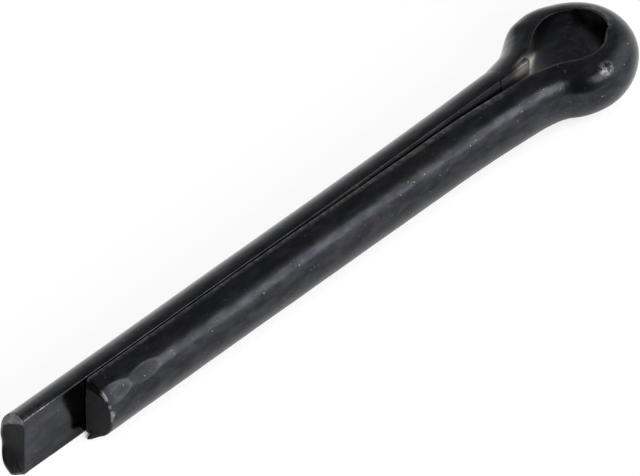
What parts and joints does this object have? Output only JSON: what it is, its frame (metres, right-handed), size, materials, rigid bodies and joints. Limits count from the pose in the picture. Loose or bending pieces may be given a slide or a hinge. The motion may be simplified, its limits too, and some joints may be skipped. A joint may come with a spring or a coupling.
{
  "type": "cotter pin",
  "caption": "Split cotter pin folded from half-round wire, with a round eye and unequal square-cut legs, that locks a nut or clevis pin.",
  "frame": {"origin": "centre of the hole in the eye, at half its height", "axes": "+X along the shank from the eye to the cut ends, +Y towards the short leg, +Z along the axis of the eye; the split between the legs lies in the XZ plane"},
  "size_m": [0.0424, 0.0066, 0.0036],
  "materials": {
    "black_oxide_steel": "black oxide, satin"
  },
  "bodies": {
    "root": {"cotter_pin": "black_oxide_steel"}
  },
  "joints": []
}
